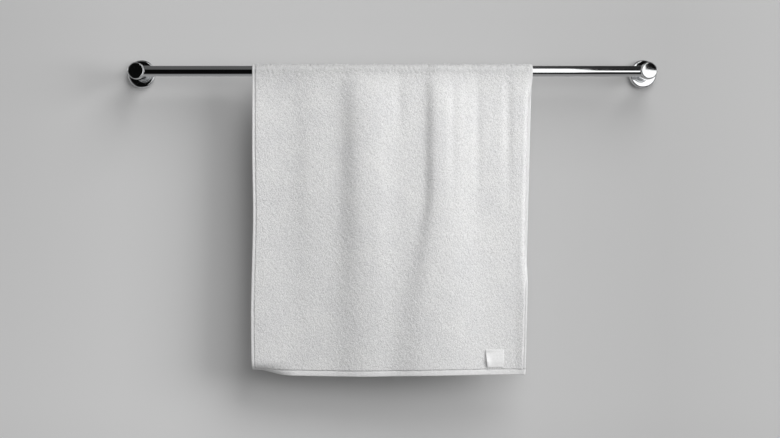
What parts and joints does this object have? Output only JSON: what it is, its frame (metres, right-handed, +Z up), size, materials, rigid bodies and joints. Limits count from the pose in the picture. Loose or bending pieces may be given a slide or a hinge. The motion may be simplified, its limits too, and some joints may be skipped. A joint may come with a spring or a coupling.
{
  "type": "towel drying rail",
  "caption": "Wall-mounted drying rail: a round chrome bar held between wall posts with push-on covers, and a white terry hand towel draped over the bar.",
  "frame": {"origin": "on the wall plane, midway between the wall plates, at the height of the bar's axis", "axes": "+X along the bar to the right as a user faces it, +Y into the wall, +Z up"},
  "size_m": [0.964, 0.1398, 0.566],
  "materials": {
    "chrome": "polished chrome plate with faint wiping marks",
    "zinc": "zinc-plated steel",
    "steel": "plain alloy steel",
    "nylon": "moulded nylon",
    "rubber": "soft rubber ring",
    "terry": "white looped cotton pile",
    "hem": "white flat-woven cotton with a sewn edge",
    "label": "white woven satin ribbon"
  },
  "bodies": {
    "wall_fittings": {"left_wall_plate": "zinc", "left_upper_wall_screw": "zinc", "left_lower_wall_screw": "zinc", "left_post": "chrome", "left_set_screw": "steel", "left_socket_bush": "nylon", "right_wall_plate": "zinc", "right_upper_wall_screw": "zinc", "right_lower_wall_screw": "zinc", "right_post": "chrome", "right_set_screw": "steel", "right_socket_bush": "nylon"},
    "bar": {"bar_tube": "chrome", "left_bar_plug": "nylon", "right_bar_plug": "nylon"},
    "towel": {"towel_saddle": "terry", "saddle_left_hem": "hem", "saddle_right_hem": "hem", "towel_back_drop": "terry", "back_left_hem": "hem", "back_right_hem": "hem", "back_end_hem": "hem"},
    "towel_front": {"towel_front_drop": "terry", "front_left_hem": "hem", "front_right_hem": "hem", "front_end_hem": "hem", "towel_label": "label"},
    "left_cover": {"left_cover_flange": "chrome", "left_cover_grip_ring": "rubber"},
    "right_cover": {"right_cover_flange": "chrome", "right_cover_grip_ring": "rubber"}
  },
  "joints": [
    {"name": "bar_spin", "type": "hinge", "parent": "wall_fittings", "child": "bar", "pos_m": [0, -0.07, 0], "axis": [1, 0, 0], "continuous": true},
    {"name": "towel_slide", "type": "slide", "parent": "wall_fittings", "child": "towel", "axis": [1, 0, 0], "range_m": [-0.18, 0.18]},
    {"name": "front_lift", "type": "hinge", "parent": "towel", "child": "towel_front", "pos_m": [0, -0.0809, 0], "axis": [-1, 0, 0], "range_deg": [0, 60]},
    {"name": "left_cover_slide", "type": "slide", "parent": "wall_fittings", "child": "left_cover", "axis": [0, -1, 0], "range_m": [0, 0.035]},
    {"name": "right_cover_slide", "type": "slide", "parent": "wall_fittings", "child": "right_cover", "axis": [0, -1, 0], "range_m": [0, 0.035]}
  ]
}
